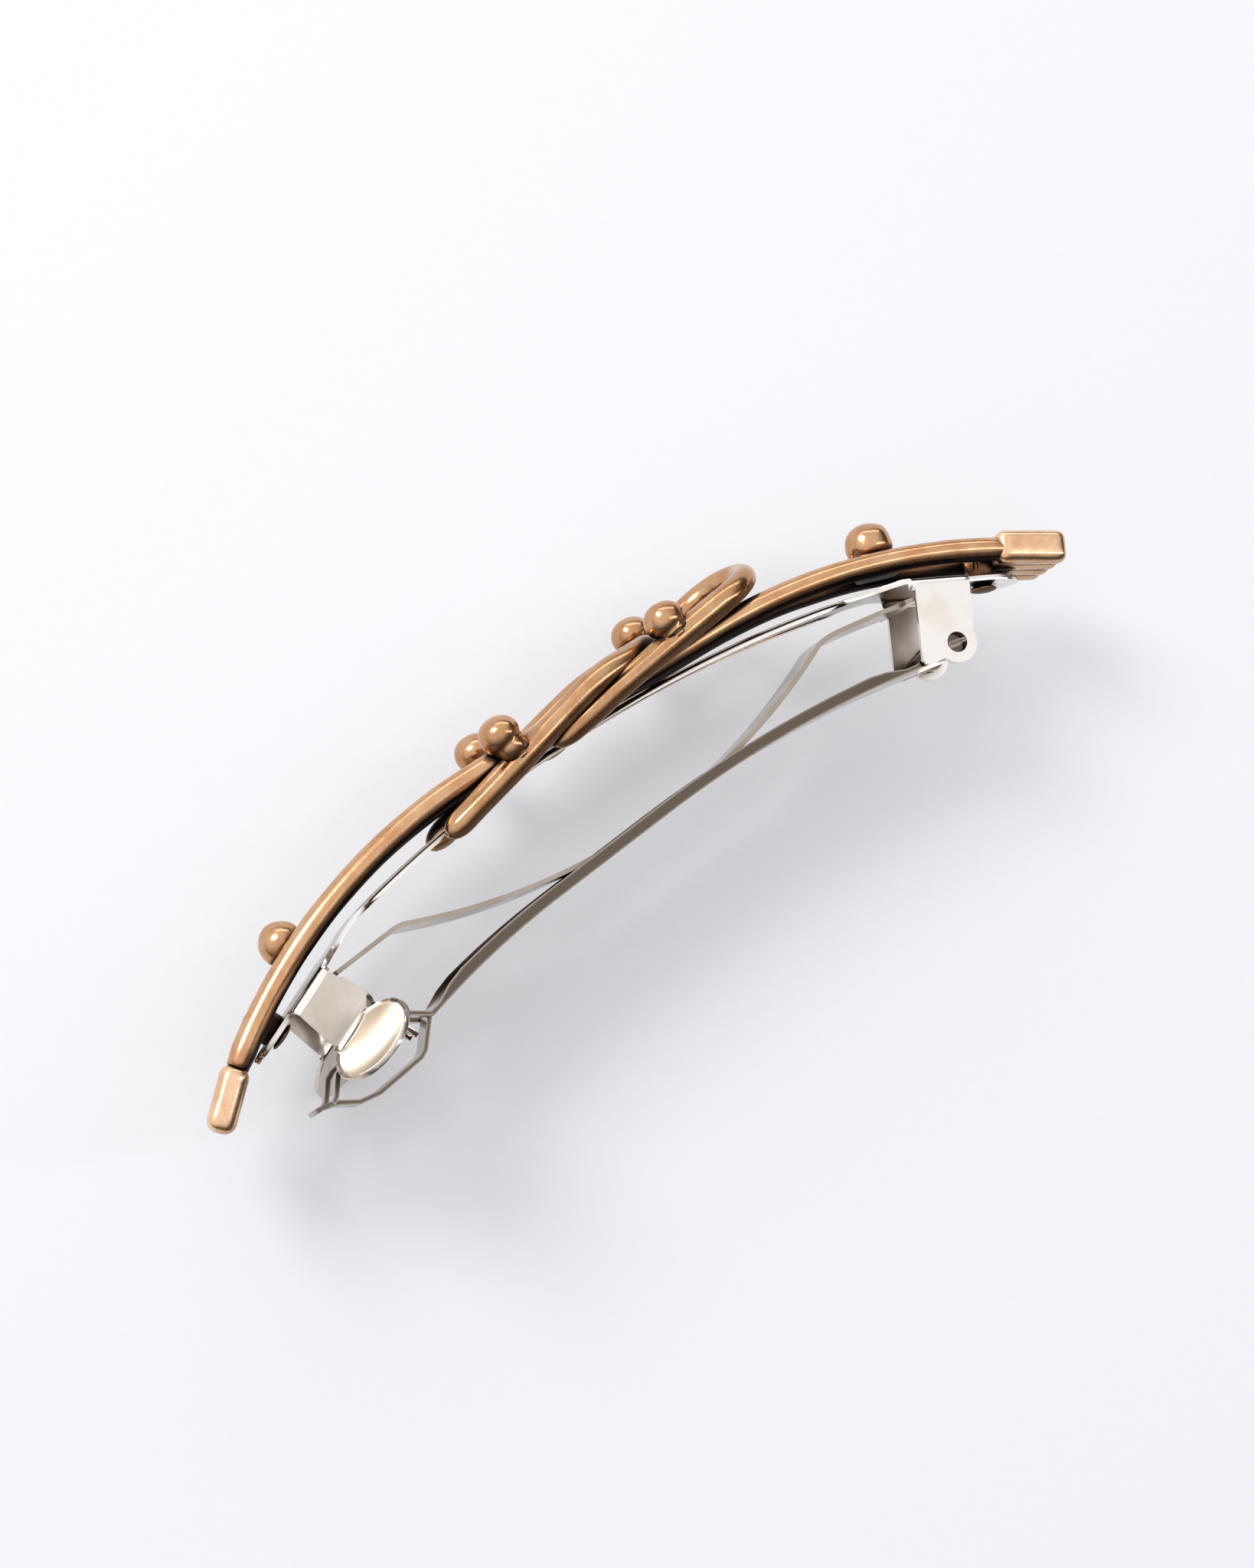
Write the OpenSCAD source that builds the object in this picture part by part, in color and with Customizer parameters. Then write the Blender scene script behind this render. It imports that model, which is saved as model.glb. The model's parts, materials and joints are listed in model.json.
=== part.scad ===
// French-clip barrette: a sprung steel clip with a hinged arm and a squeeze
// latch, under a copper ornament of two rails, knot loops, beads and end bars.
// X runs along the clip to the hinge end, Y towards the ornament, and Z is the
// clip's width: the barrette lies on its side, resting on Z = 0.

/* [Clip sheet] */
// Thickness of the stamped base sheet
sheet_t = 0.5; // [0.4:0.05:0.6]
// Width of the base strip along its middle
strip_w = 5.0; // [4.6:0.1:5.2]
// Height of the base strip's arched middle above the end line
arch_top = 8.73; // [8.5:0.01:9]
// Radius of the arched middle of the base strip
arch_r = 118; // [116:1:120]
// Slope of the two end pads of the base strip, in degrees
pad_slope = 25; // [24:0.5:26]
// Depth of the turned-down edges of the base strip
edge_drop = 0.3; // [0.2:0.05:0.6]

/* [Hinge] */
// Hinge axis along the clip
hinge_x = 29.6; // [29.4:0.1:29.8]
// Hinge axis across the clip, below the strip
hinge_y = -1.77; // [-1.9:0.01:-1.6]
// Distance over the outside of the two hinge ears
ears_w = 8.0; // [7.9:0.1:8.4]
// Radius of the hole in each hinge ear
ear_hole_r = 0.92; // [0.9:0.01:1]
// Thickness of the hinge ears and of the latch walls
wall_t = 0.4; // [0.3:0.05:0.45]

/* [Clasp arm] */
// Thickness of the arm's sheet
arm_t = 0.42; // [0.35:0.01:0.5]
// Width of the arm
arm_w = 6.6; // [6.2:0.1:6.7]
// Height of the arm's turned-up edges
arm_edge = 0.6; // [0.4:0.05:0.8]
// Radius of the rounded ends of the arm's hinge nibs
nib_r = 0.84; // [0.82:0.01:0.86]
// Width of the window in the arm's cage, which the latch prongs enter
window_w = 4.1; // [4:0.05:4.3]

/* [Tension spring] */
// Thickness of the bow spring
spring_t = 0.4; // [0.3:0.05:0.45]
// Width of the bow spring
spring_w = 5.4; // [5:0.1:5.6]
// Radius of the bow
bow_r = 56.6; // [56:0.1:57]

/* [Latch] */
// Distance over the outside of the two latch walls
walls_w = 8.4; // [8.2:0.1:8.6]
// Diameter of the dished finger pads
finger_pad_d = 7.7; // [7.4:0.1:8.0]
// Angle by which the finger pads flare out from the walls, in degrees
flare = 66; // [60:1:68]
// How far each barb stands out past its prong
barb = 0.35; // [0.2:0.05:0.4]

/* [Ornament] */
// Diameter of the two rails
rail_d = 2.1; // [2.0:0.05:2.3]
// Distance between the rails' centre lines
rail_gap = 6.15; // [6.1:0.05:6.3]
// Diameter of the knot loops' wire
loop_d = 2.25; // [2:0.05:2.4]
// Distance across each knot loop between its wire centres
loop_w = 9.5; // [9:0.1:9.8]
// Diameter of the round beads
bead_d = 4.1; // [3.8:0.1:4.3]
// Height of a bead's dome above its undercut neck
bead_h = 3.4; // [3:0.1:3.6]
// Spacing of the four short bars side by side at each end
bar_pitch = 2.05; // [2:0.01:2.06]

/* [Hidden] */

$fn = 48;
NEAR = 1;                  // the side at greater Z
FAR = -1;                  // the side at lesser Z
steel = "silver";
copper = "peru";
lap = 0.1;                 // overlap of shapes that are joined
// Moves the clip from its own lines (mid-plane at Z 0) to its place on Z = 0
place = [2.12, -3.52, 11.12];

// ---------- helpers: lines in the side view, and bands of sheet along them ----------
function reverse(v) = [for (i = [len(v) - 1:-1:0]) v[i]];
function mirror_x(v) = [for (p = v) [-p.x, p.y]];
function arc(c, r, a0, a1, n) =
    [for (i = [0:n]) let (a = a0 + (a1 - a0) * i / n) c + r * [cos(a), sin(a)]];
function along(p, i) =
    let (d = p[min(i + 1, len(p) - 1)] - p[max(i - 1, 0)]) d / norm(d);
function beside(p, d) = [for (i = [0:len(p) - 1]) let (t = along(p, i)) p[i] + d * [-t.y, t.x]];
function band(p, lo, hi) = concat(beside(p, lo), reverse(beside(p, hi)));
function smooth(t) = let (c = min(max(t, 0), 1)) c * c * (3 - 2 * c);
function soft_max(a, b, r) = (a + b + sqrt((a - b) * (a - b) + r * r)) / 2;

module in_place() translate(place) children();

// A bent strip of sheet, w wide about the mid-plane
module strip(path, t, w) {
    linear_extrude(w, center = true) polygon(band(path, -t / 2, t / 2));
}

// A side-view outline made into a plate between two widths, on one side of the mid-plane
module side_plate(side, z_in, z_out) {
    translate([0, 0, side > 0 ? z_in : -z_out]) linear_extrude(z_out - z_in) children();
}

// ---------- base plate: arched strip, end pads, hinge ears and latch bends ----------
arch_a = 13;               // half-angle of the arch, degrees
bend_r = 17;               // radius of the bend from the arch into each end pad
arch_x = arch_r * sin(arch_a);
arch_y = arch_top - arch_r * (1 - cos(arch_a));
bend_c = [arch_x, arch_y] - bend_r * [sin(arch_a), cos(arch_a)];
bend_x = bend_c.x + bend_r * sin(pad_slope);
bend_y = bend_c.y + bend_r * cos(pad_slope);
function pad_y(x) = bend_y - (x - bend_x) * tan(pad_slope);
// Height of the strip's middle line at any distance from the clip's centre
function strip_y(x) = let (d = abs(x))
    d < arch_x ? arch_top - arch_r + sqrt(arch_r * arch_r - d * d)
  : d < bend_x ? bend_c.y + sqrt(bend_r * bend_r - pow(d - bend_c.x, 2))
  : pad_y(d);
right_half = concat(arc([0, arch_top - arch_r], arch_r, 90, 90 - arch_a, 12),
                    arc(bend_c, bend_r, 88 - arch_a, 90 - pad_slope, 5));
function base_path(left, right) = concat(
    [[-left, pad_y(left)]], reverse(mirror_x(right_half)),
    [for (i = [1:len(right_half) - 1]) right_half[i]], [[right, pad_y(right)]]);
end_left = 41.6;           // reach of the latch end pad
end_right = 39.4;          // reach of the hinge end pad
end_w = 5.4;               // width of the rounded end pads

latch_x = -33.46;          // where the latch walls start, at their inner edge
latch_y = pad_y(-latch_x) - sheet_t / 2 / cos(pad_slope);
wall_len = 4.3;            // length of a latch wall along the strip
latch_reach = wall_len * cos(pad_slope);
ear_x0 = 29.0;             // the ears' ends along the strip
ear_x1 = 33.75;
shoulder = 2.2;            // length over which the strip widens

// The latch stands square to the sloping end pad
module latch_frame() translate([latch_x, latch_y, 0]) rotate(pad_slope) children();

// Plan of the base plate: strip, rounded end pads, and the wide parts at latch and hinge
module base_plan() {
    for (x = [end_w / 2 - end_left, end_right - end_w / 2])
        translate([x, 0]) circle(d = end_w);
    translate([end_w / 2 - end_left, -end_w / 2])
        square([end_left - end_w / 2 + latch_x, end_w]);
    translate([ear_x1 - lap, -end_w / 2])
        square([end_right - end_w / 2 - ear_x1 + lap, end_w]);
    translate([latch_x, -strip_w / 2]) square([ear_x0 - latch_x, strip_w]);
    translate([latch_x - latch_reach, -walls_w / 2]) square([latch_reach, walls_w]);
    translate([ear_x0, -ears_w / 2]) square([ear_x1 - ear_x0, ears_w]);
    wings([latch_x - lap, walls_w / 2], [latch_x + shoulder, strip_w / 2]);
    wings([ear_x0 + lap, ears_w / 2], [ear_x0 - shoulder, strip_w / 2]);
}
module wings(wide, narrow) {
    polygon([wide, narrow, [narrow.x, -narrow.y], [wide.x, -wide.y]]);
}

// Turned-down edge of the strip: deepest along the middle, running out at both ends
edge_from = -28.7;
edge_to = 24.4;
edge_runout = 3;
edge_t = 0.4;
module turned_edge(side) {
    line = [for (i = [0:36]) let (x = edge_from + (edge_to - edge_from) * i / 36) [x, strip_y(x)]];
    drop = [for (p = line) sheet_t / 2 + 0.05
        + edge_drop * smooth((p.x - edge_from) / edge_runout) * smooth((edge_to - p.x) / edge_runout)];
    low = [for (i = [0:len(line) - 1]) let (t = along(line, i)) line[i] - drop[i] * [-t.y, t.x]];
    side_plate(side, strip_w / 2 - edge_t, strip_w / 2)
        polygon(concat(beside(line, lap - sheet_t / 2), reverse(low)));
}

// Hinge ear: slanted plate with a lobe round the hinge hole
lobe_r = 1.85;
module ear(side) {
    side_plate(side, ears_w / 2 - wall_t, ears_w / 2) difference() {
        union() {
            polygon([[ear_x0, pad_y(ear_x0)], [ear_x1, pad_y(ear_x1)],
                     [hinge_x + 1.72, hinge_y - 0.7], [hinge_x - 1.7, hinge_y - 0.72],
                     [26.45, -2.2], [26.02, -2.0], [25.9, -1.6]]);
            translate([hinge_x, hinge_y]) circle(r = lobe_r);
        }
        translate([hinge_x, hinge_y]) circle(r = ear_hole_r);
    }
}

stud_left_x = -38.9;
stud_right_x = 36.4;
stud_r = 0.8;
stud_clear = 0.05;
// Turns a shape to stand square on the end pad at x
module on_pad(x) translate([x, pad_y(abs(x)), 0]) rotate(x < 0 ? pad_slope : -pad_slope) children();

module base_plate() {
    color(steel) in_place() difference() {
        union() {
            intersection() {
                strip(base_path(end_left, end_right), sheet_t, 2 * walls_w);
                translate([0, 40, 0]) rotate([90, 0, 0]) linear_extrude(80) base_plan();
            }
            for (side = [NEAR, FAR]) {
                turned_edge(side);
                ear(side);
                latch_frame() side_plate(side, walls_w / 2 - wall_t, walls_w / 2)
                    translate([-wall_len, -bend_drop]) square([wall_len, bend_drop + sheet_t / 2]);
            }
        }
        for (x = [stud_left_x, stud_right_x])
            on_pad(x) rotate([90, 0, 0]) cylinder(r = stud_r + stud_clear, h = 4, center = true);
    }
}

// ---------- press tabs: latch wall, prong with barb, and dished finger pad ----------
bend_drop = 0.1;           // how far the strip's bend comes down before the wall starts
flex_gap = 0.03;           // the slit along which the wall flexes
flex_y = -bend_drop - flex_gap - wall_t / 2;
flex_z = walls_w / 2 - wall_t / 2;
wall_low = -4.45;          // lower edge of the latch wall
shelf_top = -1.5;          // top of the wall's inward flange, under the spring's end
prong_in = 1.0;            // inner edge of the prong, from the mid-plane
prong_out = 1.92;          // outer edge of the prong where it passes the window
prong_tip = -9.55;
barb_top = -8.05;

// Inward flange, prong and barb, drawn as width from the mid-plane against height
module prong_outline() {
    polygon([[prong_in, shelf_top - 0.4], [prong_in + 0.4, shelf_top], [walls_w / 2, shelf_top],
             [walls_w / 2, wall_low + 0.5], [flex_z - 0.5, wall_low - 0.1],
             [prong_out + 0.5, wall_low - 0.45], [prong_out, wall_low - 1.1], [prong_out, barb_top],
             [prong_out + barb, barb_top - 0.1], [prong_out + barb, barb_top - 0.3],
             [prong_out - 0.3, prong_tip], [prong_in + 0.3, prong_tip], [prong_in, prong_tip + 0.5]]);
}

dish_depth = 0.6;
dish_t = 0.42;
dish_r = (finger_pad_d * finger_pad_d / 4 + dish_depth * dish_depth) / 2 / dish_depth;
dish_a = asin(finger_pad_d / 2 / dish_r);
neck_w = 3.8;
neck_len = 0.8;
pad_mid = -3.2;            // middle of the finger pad along the latch wall
function dish_line(r) = [for (i = [0:8]) let (a = dish_a * i / 8) [r * sin(a), -r * cos(a)]];
module finger_pad() {
    translate([-neck_w / 2, -neck_len, -dish_t / 2]) cube([neck_w, neck_len + lap, dish_t]);
    translate([0, -finger_pad_d / 2, dish_t / 2 + dish_r - dish_depth])
        rotate_extrude($fn = 64)
            polygon(concat(dish_line(dish_r), reverse(dish_line(dish_r + dish_t))));
}

module press_tab(side) {
    mirror([0, 0, side > 0 ? 0 : 1]) {
        side_plate(NEAR, walls_w / 2 - wall_t, walls_w / 2)
            polygon([[lap, flex_y], [-wall_len, flex_y], [-4.8, -3.95], [-4.6, wall_low + 0.05],
                     [-4.4, wall_low], [-0.6, wall_low], [lap, wall_low + 0.5]]);
        translate([-wall_len, flex_y, flex_z]) rotate([0, 90, 0])
            cylinder(d = wall_t, h = wall_len + lap);
        translate([wall_t, 0, 0]) rotate([0, -90, 0]) linear_extrude(wall_t) prong_outline();
        translate([pad_mid, wall_low, flex_z]) rotate([-flare, 0, 0]) finger_pad();
    }
}
module press_tab_near() color(steel) in_place() latch_frame() press_tab(NEAR);
module press_tab_far() color(steel) in_place() latch_frame() press_tab(FAR);

// ---------- clasp arm: channel arm, hinge nibs, and the cage at its free end ----------
arm_x0 = -27.5;            // where the arm's web splits into the cage
arm_y0 = -5.05;
arm_xa = -13;              // end of the first curve
arm_xb = -1;               // start of the second curve
arm_x1 = 27;               // end of the second curve
arm_a0 = 16.5;             // slopes at those places, degrees
arm_a1 = 5.5;
arm_a2 = -9.5;
arm_ra = (arm_xa - arm_x0) / (sin(arm_a0) - sin(arm_a1));
arm_rb = (arm_x1 - arm_xb) / (sin(arm_a1) - sin(arm_a2));
arm_ya = arm_y0 + arm_ra * (cos(arm_a1) - cos(arm_a0));
arm_yb = arm_ya + (arm_xb - arm_xa) * tan(arm_a1);
// Height of the arm's web, on its middle line
function arm_y(x) =
    x < arm_xa ? arm_y0 + arm_ra * (cos(asin(sin(arm_a0) - (x - arm_x0) / arm_ra)) - cos(arm_a0))
  : x < arm_xb ? arm_ya + (x - arm_xa) * tan(arm_a1)
  : arm_yb + arm_rb * (cos(asin(sin(arm_a1) - (x - arm_xb) / arm_rb)) - cos(arm_a1));
function arm_line(x0, x1, n) = [for (i = [0:n]) let (x = x0 + (x1 - x0) * i / n) [x, arm_y(x)]];

channel_from = -26.4;      // the turned-up edges' ends
channel_to = 24.3;
channel_runout = 2.5;
cage_top = [[arm_x0 + 0.6, arm_y(arm_x0 + 0.6)], [arm_x0 - 0.1, arm_y0 + 0.05],
            [-29.2, -4.0], [-29.9, -3.87], [-36.2, -4.85], [-36.9, -5.2], [-38.0, -6.7], [-38.5, -7.0]];
cage_strap = [[arm_x0 + 0.6, arm_y(arm_x0 + 0.6)], [arm_x0, arm_y0 - 0.05], [-29.3, -7.3],
              [-29.9, -7.65], [-34.4, -8.32], [-36.2, -8.1], [-37.7, -7.25], [-38.5, -7.0]];
lip_line = [[-38.2, -7.0], [-39.2, -6.87], [-40.0, -6.9]];
strap_w = window_w - 0.9;
lug_r = 1.15;
lug_t = arm_t;

module arm_edge_plate(side) {
    line = arm_line(channel_from, channel_to, 32);
    rise = [for (p = line) arm_t / 2 + 0.02 + arm_edge * smooth((p.x - channel_from) / channel_runout)
        * smooth((channel_to - p.x) / channel_runout)];
    top = [for (i = [0:len(line) - 1]) let (t = along(line, i)) line[i] + rise[i] * [-t.y, t.x]];
    side_plate(side, arm_w / 2 - arm_t, arm_w / 2)
        polygon(concat(beside(line, -arm_t / 2), reverse(top)));
}

// Lug beside the ear, and the flat nib that turns in the ear's hole
module hinge_nib(side) {
    side_plate(side, arm_w / 2 - lug_t, arm_w / 2) {
        translate([hinge_x, hinge_y]) circle(r = lug_r);
        polygon([[25.5, arm_y(25.5) - arm_t / 2], [25.5, arm_y(25.5) + arm_t / 2],
                 [hinge_x - 0.6, hinge_y + 0.98], [hinge_x + 0.2, hinge_y - 1.12],
                 [27.6, arm_y(27.6) - arm_t / 2]]);
    }
    side_plate(side, arm_w / 2 - lap, ears_w / 2 + 0.05)
        translate([hinge_x, hinge_y]) intersection() {
            circle(r = nib_r);
            rotate(arm_a2) square([4, 0.4], center = true);
        }
}

module clasp_arm() {
    color(steel) in_place() {
        strip(arm_line(arm_x0, 27.6, 40), arm_t, arm_w);
        intersection() {
            strip(arm_line(27, 29.3, 3), arm_t, arm_w);
            rotate([90, 0, 0]) linear_extrude(20, center = true) {
                translate([27.4, 0]) circle(d = 3.8);
                translate([26, -1.9]) square([1.4, 3.8]);
            }
        }
        strip(cage_strap, arm_t, strap_w);
        intersection() {
            strip(lip_line, arm_t, arm_w);
            rotate([90, 0, 0]) linear_extrude(40, center = true)
                polygon([[-38, 3.0], [-38.6, 2.5], [-39.2, 1.9], [-39.9, 1.3], [-40.1, 0.8],
                         [-40.1, -0.8], [-39.9, -1.3], [-39.2, -1.9], [-38.6, -2.5], [-38, -3.0]]);
        }
        for (side = [NEAR, FAR]) {
            arm_edge_plate(side);
            hinge_nib(side);
            side_plate(side, window_w / 2, arm_w / 2) polygon(band(cage_top, -arm_t / 2, arm_t / 2));
        }
    }
}

// ---------- tension spring: a bow that rests along the arm and springs it open ----------
bow_c = [-5.415, 55.42];
bow_from = -25.6;
bow_to = 18.9;
spring_gap = 0.07;
function bow_y(x) = soft_max(bow_c.y - sqrt(bow_r * bow_r - pow(x - bow_c.x, 2)),
                             arm_y(x) + arm_t / 2 + spring_gap + spring_t / 2, 0.2);
spring_line = concat([[-32.45, 1.95], [-29.1, 2.3], [-26.3, 2.6]],
    [for (i = [0:44]) let (x = bow_from + (bow_to - bow_from) * i / 44) [x, bow_y(x)]],
    [[20.0, 4.52], [20.9, 4.5], [25, 4.0], [28.9, 3.33]]);
module tension_spring() {
    color(steel) in_place() intersection() {
        strip(spring_line, spring_t, ears_w);
        rotate([90, 0, 0]) linear_extrude(60, center = true) {
            translate([-33, -spring_w / 2]) square([63, spring_w]);
            translate([27.6, wall_t - ears_w / 2]) square([3, ears_w - 2 * wall_t]);
        }
    }
}

// ---------- ornament: rails, knot loops, beads and end bars ----------
rail_y = 10.05;
// Start, radius and angle of each curve. The ornament is a little twisted, so that
// its far rail lies lower at the latch end.
rail_left_near = [-13, 50.2, 37.6];
rail_left_far = [-12.5, 48.6, 38.4];
rail_right = [11.8, 54.5, 29.5];
module rail(side) {
    rail_left = side > 0 ? rail_left_near : rail_left_far;
    color(copper) in_place() translate([0, 0, side * rail_gap / 2]) {
        translate([rail_left[0], rail_y, 0]) rotate([0, 90, 0])
            cylinder(d = rail_d, h = rail_right[0] - rail_left[0]);
        translate([rail_left[0], rail_y - rail_left[1], 0])
            rotate_extrude(angle = rail_left[2], start = 90) translate([rail_left[1], 0]) circle(d = rail_d);
        translate([rail_right[0], rail_y - rail_right[1], 0])
            rotate_extrude(angle = rail_right[2], start = 90 - rail_right[2])
                translate([rail_right[1], 0]) circle(d = rail_d);
    }
}
module rail_near() rail(NEAR);
module rail_far() rail(FAR);
// Height midway between the rails' centre lines at x
function curve_y(c, x) = rail_y - c[1] + sqrt(pow(c[1], 2) - pow(x - c[0], 2));
function rail_line_y(x) =
    x < rail_left_near[0] ? (curve_y(rail_left_near, x) + curve_y(rail_left_far, x)) / 2
  : x > rail_right[0] ? curve_y(rail_right, x)
  : rail_y;

// A knot loop is a U of wire laid round both rails: low at the latch end, where
// its tips tuck in beside the rails, and crossing over them at the hinge end.
// shape: [tip x, start of the crossing, length of the crossing, height at x = 0,
//         slope, x where it levels off, tuck of the tips, roll, growth of the roll]
loop_low = [-19.6, -2.5, 8.5, 12.0, 0.272, 0.3, 0.9, 0.03, 0];
loop_high = [-5.6, 12.6, 4.4, 10.05, 0.2, 17, 1.3, 0.02, 0.01];
level_off = 2;
function loop_y(s, x, z) =
    let (knee = s[5], d = knee - x, rise = (d + sqrt(d * d + level_off * level_off)) / 2)
    s[3] + s[4] * (knee - rise) - z * (s[7] + s[8] * max(x, 0));
straight_n = 14;
turn_n = 14;
function loop_side(s, side) = [for (i = [0:straight_n - 1])
    let (x = s[0] + (s[1] - s[0]) * i / straight_n,
         tuck = s[6] * pow(1 - i / straight_n, 3),
         z = side * (loop_w / 2 - tuck))
    [x, loop_y(s, x, z), z]];
function loop_turn(s) = [for (i = [0:turn_n])
    let (a = 180 * i / turn_n, x = s[1] + s[2] * sin(a), z = cos(a) * loop_w / 2)
    [x, loop_y(s, x, z), z]];
function loop_path(s) = concat(loop_side(s, NEAR), loop_turn(s), reverse(loop_side(s, FAR)));

// Round wire swept along a path in space, its two ends drawn in to rounded tips
wire_sides = 12;
tip_round = [0.45, 0.8, 0.95];
function tip_scale(i, n) = let (k = min(i, n - 1 - i)) k < len(tip_round) ? tip_round[k] : 1;
module wire(path, d) {
    n = len(path);
    rings = [for (i = [0:n - 1])
        let (t = along(path, i), u = cross(t, [0, 1, 0]), a = u / norm(u), b = cross(a, t),
             r = d / 2 * tip_scale(i, n))
        for (j = [0:wire_sides - 1]) let (w = 360 * j / wire_sides)
            path[i] + r * (cos(w) * a + sin(w) * b)];
    sides = [for (i = [0:n - 2], j = [0:wire_sides - 1])
        let (k = (j + 1) % wire_sides, p = i * wire_sides, q = p + wire_sides)
        [p + j, q + j, q + k, p + k]];
    ends = [[for (j = [0:wire_sides - 1]) j],
            [for (j = [wire_sides - 1:-1:0]) (n - 1) * wire_sides + j]];
    polyhedron(rings, concat(sides, ends));
}
module knot_loop_low() color(copper) in_place() wire(loop_path(loop_low), loop_d);
module knot_loop_high() color(copper) in_place() wire(loop_path(loop_high), loop_d);

// Bead: a dome with an undercut neck, standing on a seat
dome_low = 1.4;            // height of the dome's widest line above the neck's foot
neck_cut = -42;
neck_h = 0.7;              // length of the bare neck over the seat
module bead(at, lean, seat_r, seat_low, neck, size) {
    r = size * bead_d / 2;
    dome = [for (i = [0:12]) let (a = 90 * i / 12)
        [r * cos(a), dome_low + (size * bead_h - dome_low) * sin(a)]];
    under = [for (i = [0:4]) let (a = neck_cut * (1 - i / 5))
        [r * cos(a), dome_low + dome_low * 1.1 * sin(a)]];
    color(copper) in_place() translate(at) rotate(lean) rotate([-90, 0, 0]) rotate_extrude()
        polygon(concat([[0, seat_low - neck], [seat_r, seat_low - neck], [seat_r, -0.1 - neck],
                        [under[0].x, 0.1 - neck]], under, dome));
}
// Foot of a bead held between the two rails, which it touches at both sides
rail_seat_r = rail_gap / 2 - rail_d / 2 + 0.03;
function rail_lean(x) =
    x < 0 ? asin((rail_left_near[0] - x) / rail_left_near[1]) : -asin((x - rail_right[0]) / rail_right[1]);
module rail_bead(x, neck, size) {
    lean = rail_lean(x);
    bead([x - neck * sin(lean), rail_line_y(x) + neck * cos(lean), 0], lean, rail_seat_r, -0.7, neck, size);
}
module bead_left() rail_bead(-34.1, 0.1, 0.95);
module bead_right() rail_bead(28.3, neck_h, 1.06);
// Foot of a bead set on a knot loop's wire
loop_seat_r = 1.45;
loop_bead_size = 0.9;      // the beads on the loops are a little smaller
loop_foot = 0.55;          // how far above the wire's middle the neck's foot is
module loop_bead(s, x, side, lift = 0) {
    z = side * loop_w / 2;
    bead([x, loop_y(s, x, z) + loop_foot + lift, z], atan(s[4]), loop_seat_r, -0.4, 0.1 + lift, loop_bead_size);
}
module bead_near_left() loop_bead(loop_low, -10.2, NEAR, 0.8);
module bead_far_left() loop_bead(loop_low, -10.2, FAR, 0.8);
module bead_near_right() loop_bead(loop_high, 7.5, NEAR);
module bead_far_right() loop_bead(loop_high, 7.5, FAR);

// Short bars side by side across each end: [start of the nearest bar, direction,
// length, height, how much farther along the clip the farthest bar lies]
left_bars = [[-43.6, -0.3], 180 + 43, 5.6, 2.45, 0.93];
right_bars = [[38.5, 3.35], -29, 5.9, 2.6, 0];
bar_round = 0.75;
function round_box(w, h, r) = concat(
    arc([w / 2 - r, h / 2 - r], r, 0, 90, 5), arc([r - w / 2, h / 2 - r], r, 90, 180, 5),
    arc([r - w / 2, r - h / 2], r, 180, 270, 5), arc([w / 2 - r, r - h / 2], r, 270, 360, 5));
module end_bar(bars, index) {
    color(copper) in_place() translate([bars[0].x + bars[4] * (4 - index) / 3, bars[0].y, (index - 2.5) * bar_pitch])
        rotate(bars[1]) rotate([90, 0, 90])
            linear_extrude(bars[2]) rotate(90) polygon(round_box(bar_pitch, bars[3], bar_round));
}
module left_end_bar_1() end_bar(left_bars, 1);
module left_end_bar_2() end_bar(left_bars, 2);
module left_end_bar_3() end_bar(left_bars, 3);
module left_end_bar_4() end_bar(left_bars, 4);
module right_end_bar_1() end_bar(right_bars, 1);
module right_end_bar_2() end_bar(right_bars, 2);
module right_end_bar_3() end_bar(right_bars, 3);
module right_end_bar_4() end_bar(right_bars, 4);

// Rivet stud: a lug between the rails, a shoulder on the end pad, and a head under it
head_r = 1.25;
head_h = 0.6;
shoulder_r = 1.4;
lug_d = 1.8;
module rivet_stud(x) {
    lift = (rail_line_y(x) - pad_y(abs(x))) * cos(pad_slope);
    color(copper) in_place() on_pad(x) {
        rotate([-90, 0, 0]) rotate_extrude() polygon(concat(
            [[0, lift], [shoulder_r, lift], [shoulder_r, sheet_t / 2], [stud_r, sheet_t / 2],
             [stud_r, -sheet_t / 2]],
            [for (i = [0:6]) let (a = 90 * i / 6)
                [head_r * cos(a), -sheet_t / 2 - head_h * (1 + sin(a)) / 2]]));
        translate([0, lift, 0]) cylinder(d = lug_d, h = 2 * rail_seat_r, center = true);
    }
}
module rivet_stud_left() rivet_stud(stud_left_x);
module rivet_stud_right() rivet_stud(stud_right_x);

base_plate();
press_tab_near();
press_tab_far();
clasp_arm();
tension_spring();
rail_near();
rail_far();
knot_loop_low();
knot_loop_high();
bead_left();
bead_right();
bead_near_left();
bead_near_right();
bead_far_left();
bead_far_right();
left_end_bar_1();
left_end_bar_2();
left_end_bar_3();
left_end_bar_4();
right_end_bar_1();
right_end_bar_2();
right_end_bar_3();
right_end_bar_4();
rivet_stud_left();
rivet_stud_right();
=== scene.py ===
# %% [markdown]
# # A copper barrette on a sprung steel clip
# The barrette has two halves. The clip is stamped from thin nickel-plated
# sheet: an arched strip, a hinged arm, a bow spring and a squeeze latch. The
# ornament is copper: two rails, two knot loops, six beads and a row of short
# bars at each end. The frame gives every part's place, so each new piece is
# made straight where it belongs.

# %% Load the frame
import json
import math
import bmesh
import bpy
from mathutils import Matrix, Vector, noise


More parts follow.
